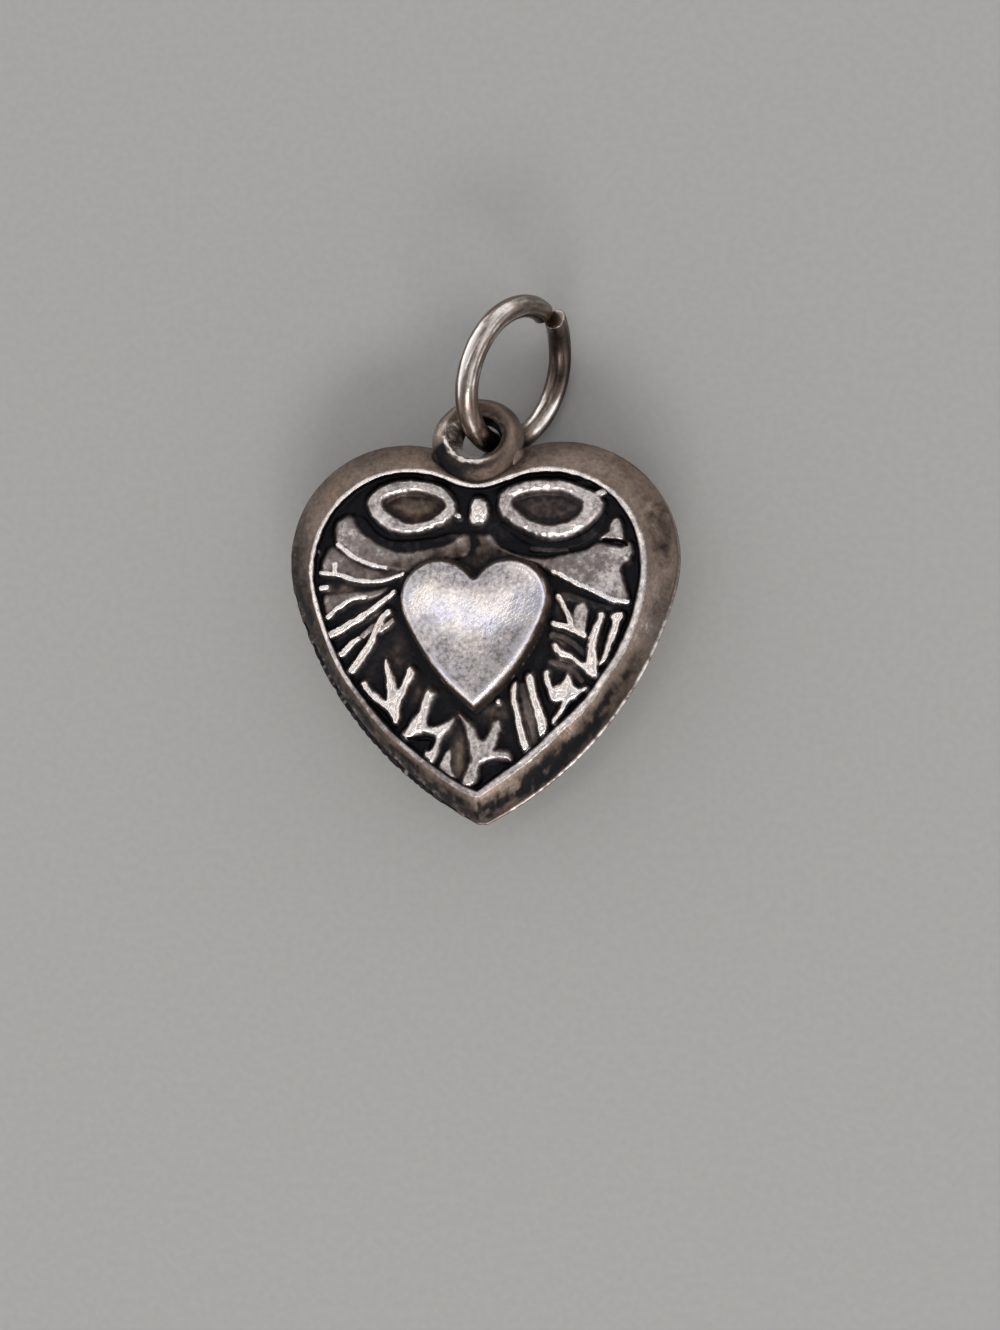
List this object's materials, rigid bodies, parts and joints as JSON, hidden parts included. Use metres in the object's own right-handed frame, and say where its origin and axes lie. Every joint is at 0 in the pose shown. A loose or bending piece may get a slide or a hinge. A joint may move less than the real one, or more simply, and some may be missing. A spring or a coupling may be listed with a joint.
{
  "type": "puffed heart charm",
  "caption": "Hollow puffed heart charm in tarnished silver, with a bow, leaf and heart relief on its front, a hanging eye in the cleft and an open jump ring.",
  "frame": {"origin": "centre of the flat on the back, which the charm lies on", "axes": "+Z out of the front of the charm, +Y from the heart's point to the hanging eye and the jump ring, +X to the right as seen from the front"},
  "size_m": [0.0144, 0.0193, 0.0054],
  "materials": {
    "struck_silver": "struck sterling silver, black tarnish in the recesses, worn bright on the high places",
    "plain_silver": "smooth sterling silver, light olive-brown tarnish, fine scratches where it rests",
    "solder": "silver solder, slightly yellower and pitted",
    "eye_silver": "satin sterling silver with a warm taupe tarnish and a worn lip",
    "wire_silver": "drawn sterling wire, dulled, with lengthwise streaks and bright rubbed places"
  },
  "bodies": {
    "heart": {"front_shell": "struck_silver", "back_shell": "plain_silver", "seam_solder": "solder", "hanging_eye": "eye_silver", "eye_solder": "solder"},
    "ring": {"jump_ring": "wire_silver"}
  },
  "joints": [
    {"name": "ring_swing", "type": "hinge", "parent": "heart", "child": "ring", "pos_m": [-0.00008, 0.00833, 0.00275], "axis": [1, 0, 0], "range_deg": [0, 55]}
  ]
}
